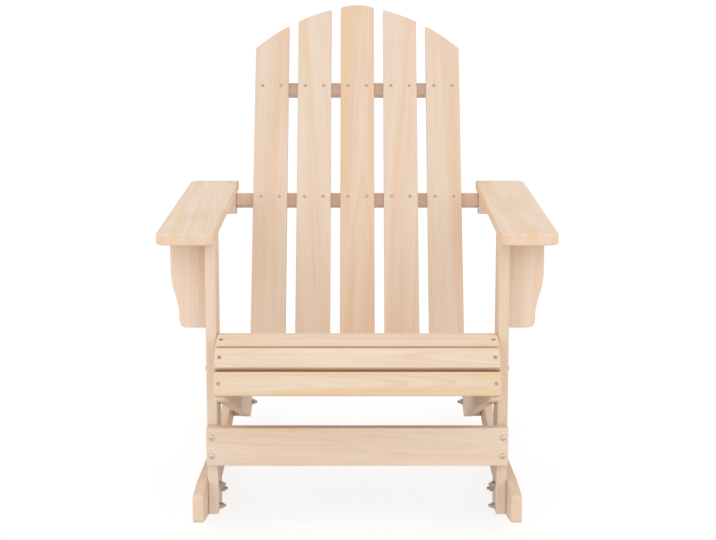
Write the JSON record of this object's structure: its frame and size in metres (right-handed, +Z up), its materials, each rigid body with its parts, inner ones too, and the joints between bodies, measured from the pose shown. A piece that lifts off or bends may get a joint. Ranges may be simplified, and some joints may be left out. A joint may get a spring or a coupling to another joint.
{
  "type": "rocking adirondack chair",
  "caption": "Wooden rocking chair with a reclined slatted back under an arched top, a sloping slatted seat with a rounded front, flat wide armrests and curved runners.",
  "frame": {"origin": "centre of the bounding box on the floor, under the chair's mirror plane", "axes": "+Z up, +X to the right as seen from the front, the chair faces -Y"},
  "size_m": [0.7, 0.9152, 0.9175],
  "materials": {
    "softwood_board": "bare planed softwood, eased edges",
    "softwood_rail": "bare planed softwood, eased edges",
    "beech_dowel": "turned, glued in",
    "zinc_plated_steel": "dull zinc plating"
  },
  "bodies": {
    "root": {"arm_bracket_left": "softwood_board", "arm_bracket_right": "softwood_board", "arm_cleat_left": "softwood_board", "arm_cleat_right": "softwood_board", "arm_dowels": "beech_dowel", "armrest_left": "softwood_board", "armrest_right": "softwood_board", "back_rail_bottom": "softwood_rail", "back_rail_lower": "softwood_rail", "back_rail_upper": "softwood_rail", "back_screws": "zinc_plated_steel", "back_slat_1": "softwood_board", "back_slat_2": "softwood_board", "back_slat_3": "softwood_board", "back_slat_4": "softwood_board", "back_slat_5": "softwood_board", "barrel_nuts": "zinc_plated_steel", "bracket_screws": "zinc_plated_steel", "cleat_screws": "zinc_plated_steel", "front_leg_left": "softwood_board", "front_leg_right": "softwood_board", "front_stretcher": "softwood_board", "nuts": "zinc_plated_steel", "rail_end_screws": "zinc_plated_steel", "rocker_bolts": "zinc_plated_steel", "rocker_left": "softwood_board", "rocker_right": "softwood_board", "seat_bolts": "zinc_plated_steel", "seat_screws": "zinc_plated_steel", "seat_slat_1": "softwood_board", "seat_slat_10": "softwood_board", "seat_slat_11": "softwood_board", "seat_slat_2": "softwood_board", "seat_slat_3": "softwood_board", "seat_slat_4": "softwood_board", "seat_slat_5": "softwood_board", "seat_slat_6": "softwood_board", "seat_slat_7": "softwood_board", "seat_slat_8": "softwood_board", "seat_slat_9": "softwood_board", "stretcher_bolts": "zinc_plated_steel", "stringer_left": "softwood_board", "stringer_right": "softwood_board", "tail_bolts": "zinc_plated_steel", "tail_spacer_left": "softwood_board", "tail_spacer_right": "softwood_board", "washers": "zinc_plated_steel"}
  },
  "joints": []
}
